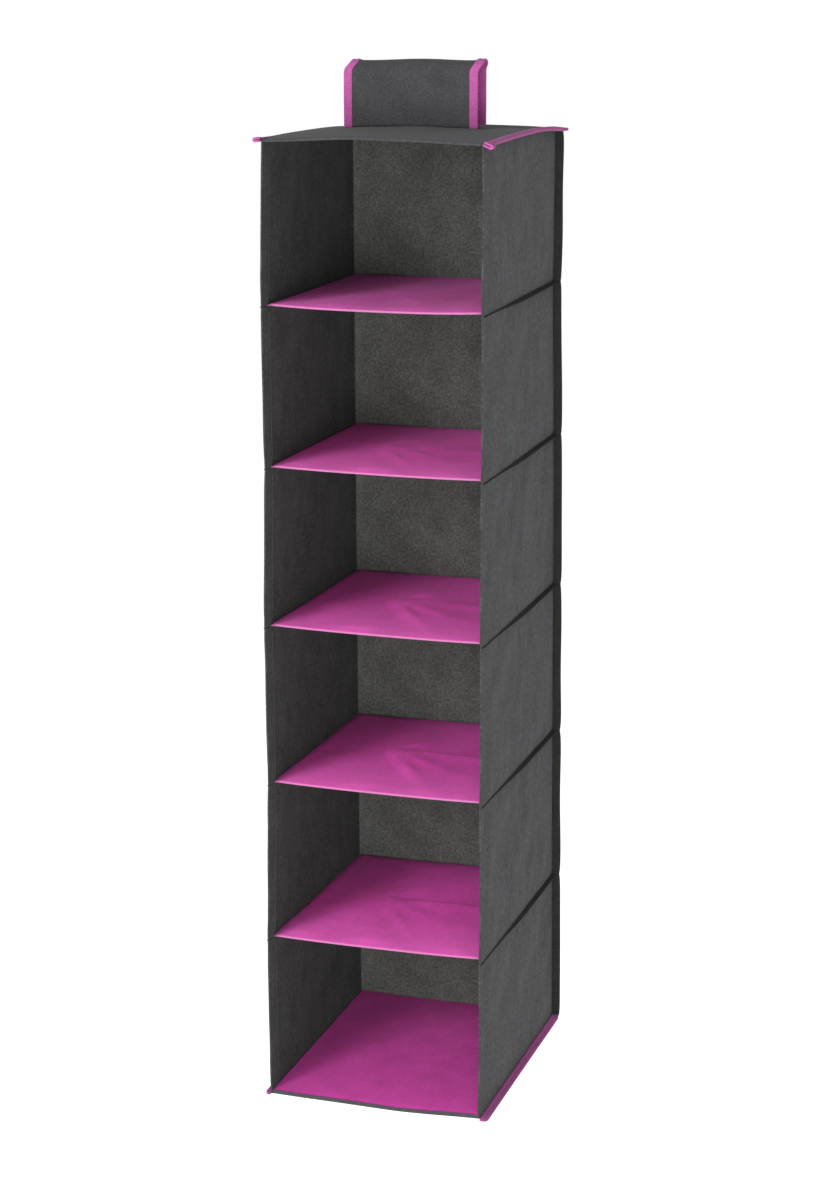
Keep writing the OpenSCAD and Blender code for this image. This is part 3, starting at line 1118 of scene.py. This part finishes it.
def closure_tape(node, name, material, body, y, nap):
    """The backing of a closure tape, sewn on flat. nap is how rough its face is."""
    low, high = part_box(node)
    foot = max(low.z, TOP + 8 * MM)
    x, z = np.meshgrid(np.linspace(low.x, high.x, 110), np.linspace(foot, high.z, 26))
    rough = np.random.default_rng(31).uniform(-nap, nap, x.shape)
    tape = cloth(name, points_at(x, y + rough, z), THIN_T)
    dress(tape, material, node, node)
    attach(tape, body)
    return foot


def closure():
    """The loop tape on the tab and the hook tape inside the flap, with its rows of hooks."""
    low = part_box("loop_tape")[0]
    closure_tape("loop_tape", "loop_tape_nap", "loop", "top_panel", low.y + 0.45 * MM, 0.2 * MM)
    low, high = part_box("hook_tape")
    foot = closure_tape("hook_tape", "hook_tape_backing", "hook", "strap_flap", high.y - 0.25 * MM, 0)
    columns = np.arange(low.x + 2 * MM, high.x - 1 * MM, 2.4 * MM)
    hooks(columns, np.arange(foot + 1.5 * MM, high.z - 1 * MM, 2 * MM), high.y - 0.45 * MM)


def hooks(xs, zs, y):
    """Rows of small bent nylon hooks that stand forward from the hook tape."""
    bend_line = np.array([(0, 0), (0, 0.32), (0.12, 0.5), (0.32, 0.5), (0.42, 0.36)]) * MM
    thick = np.array([0.14, 0.12, 0.11, 0.1, 0.07]) * MM
    square = np.array([(-1, -1), (1, -1), (1, 1), (-1, 1)])
    points, faces = [], []
    for row, z in enumerate(zs):
        for x in xs:
            base = len(points)
            hook_way = 1 if row % 2 else -1
            for (sideways, forward), r in zip(bend_line, thick):
                slant = r if forward > 0.4 * MM else 0
                middle = np.array([x + hook_way * sideways, y - forward, z])
                points += [middle + (a * r, a * slant, b * r) for a, b in square]
            faces += tube_faces(len(bend_line), len(square), base)
    rows = new_object("hook_tape_hooks", np.array(points), faces)
    dress(rows, "hook", "hook_tape")
    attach(rows, "strap_flap")


# ---- Bottom panel ----

BOTTOM_SAG = 1.6 * MM


def bottom_bow(x, y):
    """How far the bottom panel bows, below zero."""
    return -BOTTOM_SAG * (1 - np.clip(np.abs(x) / HALF_W, 0, 1) ** 2)


def bottom_panel():
    low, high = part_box("bottom_board")
    board("bottom_board", "bottom_panel", low.y + 1 * MM, (low.z + high.z) / 2, bottom_bow, 1.8 * MM)
    bottom_liner()
    bottom_cover()
    for side in SIDES:
        bottom_binding(side)


def bottom_liner():
    """The magenta fabric that lies on the bottom board, tucked in at the front."""
    low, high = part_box("bottom_liner")
    x, y = np.meshgrid(np.linspace(low.x, high.x, 51), np.linspace(FRONT + 1.1 * MM, high.y, 60))
    soft = np.abs(soft_noise(61, high=3)(x / HALF_W, depth_share(y)))
    tucked = np.exp(-(y - FRONT) / (3 * MM))
    z = low.z + (0.35 + 0.3 * soft - 1.0 * tucked) * MM + bottom_bow(x, y)
    liner = cloth("bottom_liner_fabric", points_at(x, y, z), THIN_T)
    dress(liner, "liner", "shelf_fabric", "bottom_liner")
    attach(liner, "bottom_panel")


def bottom_cover():
    """Grey fabric under the bottom board, turned up over its front edge."""
    low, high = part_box("bottom_cover")
    under = low.z + 0.4 * MM
    front = FRONT + 0.35 * MM
    corners = [(front, high.z + 0.2 * MM), (front, under), (BACK - 0.4 * MM, under)]
    path = rounded_path(corners, 1 * MM, 4 * MM)
    ripple = soft_noise(62)

    def rise(x, y):
        bulge = 1.1 * MM * np.exp(-((x - 28 * MM) / (40 * MM)) ** 2) * (1 - depth_share(y)) ** 6
        return bottom_bow(x, y) - bulge - 0.3 * MM * np.abs(ripple(x / HALF_W, depth_share(y)))

    cover = cloth("bottom_cover_fabric", panel_grid(path, rise))
    dress(cover, "grey", "grey_fabric", "bottom_cover")
    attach(cover, "bottom_panel")


def bottom_binding(side):
    name = f"bottom_binding_{SIDES[side]}"
    y = np.linspace(FRONT - 2 * MM, BACK + 3.5 * MM, 74)
    line, out, up = seam_lines(side, TIERS, y)
    t = (y - FRONT) / DEPTH
    ends = 1 - 0.45 * (1 - smoothstep(-0.007, 0.012, t)) - 0.2 * smoothstep(0.98, 1.01, t)
    width = 7.4 * MM if side > 0 else 5.7 * MM
    sewn_tape(name, line, out, up, width * ends, 2.7 * MM * np.sqrt(ends), "bottom_panel")


# ---- Camera, light and floor ----

SENSOR_MM = 36
LENS_MM = 91.509
CAMERA_AT = (0.7224, -2.7647, 0.1272)
LOOKS_DOWN = 12.284        # degrees
LOOKS_LEFT = 14.615
LIGHT_SIZE = 1.3
LIGHT_DISTANCE = 3.6
FLOOR_SIZE = 400
FLOOR_BELOW = 0.7          # how far the bag hangs above the floor


def camera():
    data = bpy.data.cameras.new("camera")
    data.sensor_width = SENSOR_MM
    data.lens = LENS_MM
    data.clip_end = 500
    cam = placed("camera", data)
    cam.location = CAMERA_AT
    cam.rotation_euler = Euler((math.radians(90 - LOOKS_DOWN), 0, math.radians(LOOKS_LEFT)))
    scene.camera = cam


def soft_light(name, azimuth, elevation, power):
    """A round soft box facing the bag's middle, so many degrees from straight ahead."""
    data = bpy.data.lights.new(name, "AREA")
    data.shape = "DISK"
    data.size = LIGHT_SIZE
    data.energy = power
    lamp = placed(name, data)
    turn = Euler((math.radians(90 - elevation), 0, math.radians(azimuth)))
    away = Vector((0, 0, LIGHT_DISTANCE)) @ turn.to_matrix().inverted()
    lamp.rotation_euler = turn
    lamp.location = Vector((0, 0, (TOP + BOTTOM) / 2)) + away
    lamp.visible_camera = False


def studio():
    scene.view_settings.view_transform = "Standard"
    world = bpy.data.worlds.new("studio")
    world.use_nodes = True
    sky = world.node_tree.nodes["Background"]
    sky.inputs["Color"].default_value = (1, 1, 1, 1)
    sky.inputs["Strength"].default_value = 1.05
    scene.world = world
    soft_light("key", -20, 21, 152)
    soft_light("front", 12, 3, 126)
    soft_light("low_left", -20, -4, 42)
    soft_light("low_right", 32, -4, 45)
    bpy.ops.mesh.primitive_grid_add(size=FLOOR_SIZE, x_subdivisions=8, y_subdivisions=8)
    floor = bpy.context.object
    floor.name = "floor"
    floor.location.z = BOTTOM - FLOOR_BELOW
    floor.data.materials.append(floor_material())


# ---- The whole object ----

camera()
studio()
top_panel()
strap_tab()
closure()
strap()
for k in range(1, TIERS + 1):
    for side in SIDES:
        side_wall(k, side)
    back_wall(k)
    corner_bindings(k)
for k in range(1, TIERS):
    shelf(k)
bottom_panel()
